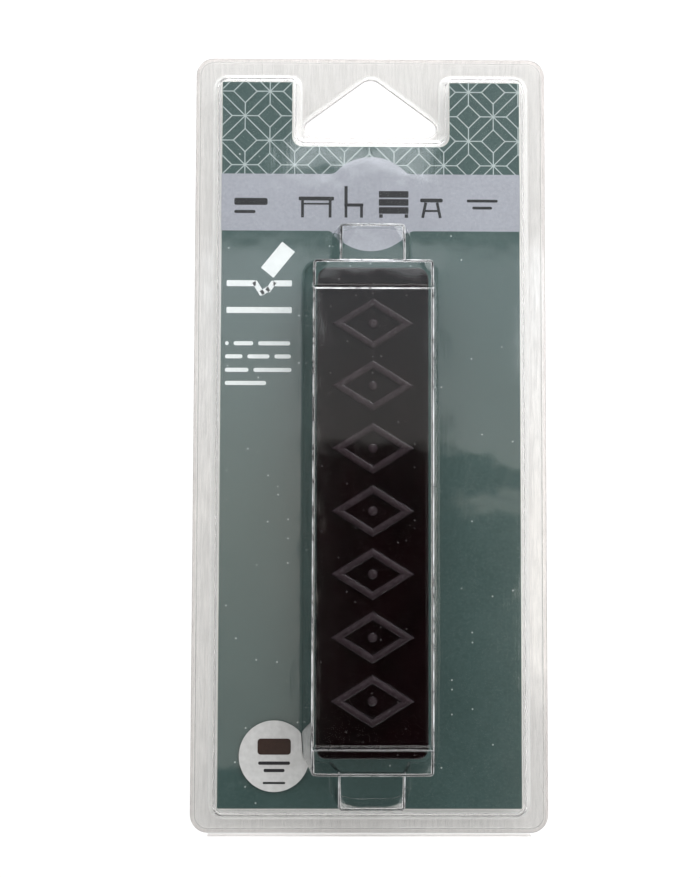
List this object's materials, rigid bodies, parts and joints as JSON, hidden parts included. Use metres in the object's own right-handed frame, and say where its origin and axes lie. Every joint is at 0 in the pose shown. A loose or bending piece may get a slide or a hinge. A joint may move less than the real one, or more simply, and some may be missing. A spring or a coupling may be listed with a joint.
{
  "type": "furniture repair wax stick in hanging pack",
  "caption": "Dark brown cast wax filler bar in a clear hinged clamshell with a drafted tray, a green printed card, a round label and a triangular hang hole.",
  "frame": {"origin": "middle of the pack's outline, on the back face of the rear flange", "axes": "+Z out of the front of the pack, +Y along its length towards the hang hole, +X to the right seen from the front"},
  "size_m": [0.1, 0.22, 0.0179],
  "materials": {
    "front_sheet": "clear glossy thermoformed sheet",
    "rear_sheet": "clear glossy thermoformed sheet",
    "card": "satin printed board",
    "wax": "semi-gloss cast wax",
    "label": "satin silver-grey paper"
  },
  "bodies": {
    "back": {"rear_shell": "rear_sheet", "hinge_fold": "rear_sheet", "insert_card": "card"},
    "front": {"front_shell": "front_sheet", "shade_label": "label"},
    "stick": {"wax_stick": "wax"}
  },
  "joints": [
    {"name": "front_swing", "type": "hinge", "parent": "back", "child": "front", "pos_m": [0, -0.1095, 0.0005], "axis": [1, 0, 0], "range_deg": [0, 135]},
    {"name": "stick_slide", "type": "slide", "parent": "back", "child": "stick", "axis": [0, 1, 0], "range_m": [-0.0029, 0.0013]}
  ]
}
